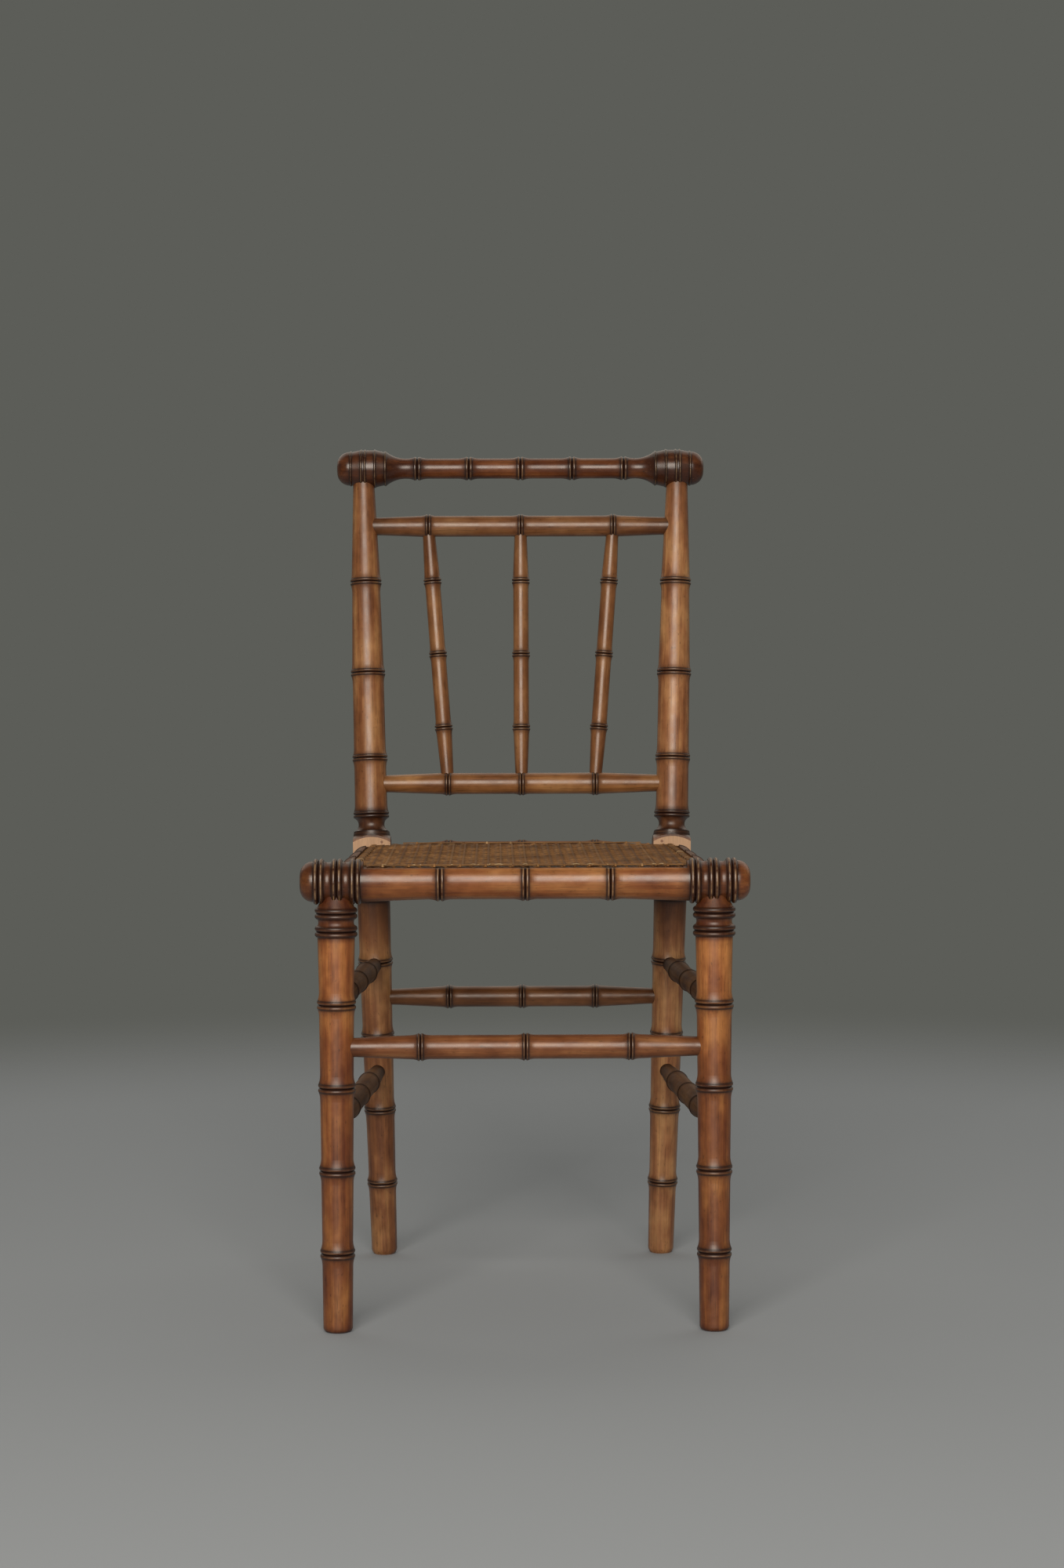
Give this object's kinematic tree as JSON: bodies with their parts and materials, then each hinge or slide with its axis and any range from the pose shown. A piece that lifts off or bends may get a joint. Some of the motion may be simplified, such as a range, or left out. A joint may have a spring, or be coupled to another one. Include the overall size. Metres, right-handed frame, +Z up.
{
  "type": "side chair",
  "caption": "Side chair with turned, ringed legs, rails and spindles in imitation of bamboo, square blocks where the back posts meet the seat frame, and a flat caned seat.",
  "frame": {"origin": "on the floor, under the middle of the chair's bounding box", "axes": "+Z up, the front of the chair faces -Y, +X to the right of a viewer in front of it"},
  "size_m": [0.434, 0.4644, 0.8789],
  "materials": {
    "stained_beech": "satin varnish",
    "cane": "aged, matt",
    "peg_wood": "raw"
  },
  "bodies": {
    "root": {"crest_rail": "stained_beech", "rear_post_left": "stained_beech", "rear_post_right": "stained_beech", "upper_back_rail": "stained_beech", "lower_back_rail": "stained_beech", "spindle_left": "stained_beech", "spindle_centre": "stained_beech", "spindle_right": "stained_beech", "front_seat_rail": "stained_beech", "side_seat_rail_left": "stained_beech", "side_seat_rail_right": "stained_beech", "rear_seat_rail": "stained_beech", "front_leg_left": "stained_beech", "front_leg_right": "stained_beech", "front_stretcher": "stained_beech", "rear_stretcher": "stained_beech", "upper_side_stretcher_left": "stained_beech", "upper_side_stretcher_right": "stained_beech", "lower_side_stretcher_left": "stained_beech", "lower_side_stretcher_right": "stained_beech", "cane_seat": "cane", "cane_binder_front": "cane", "cane_binder_rear": "cane", "cane_binder_left": "cane", "cane_binder_right": "cane", "caning_pegs": "peg_wood"}
  },
  "joints": []
}
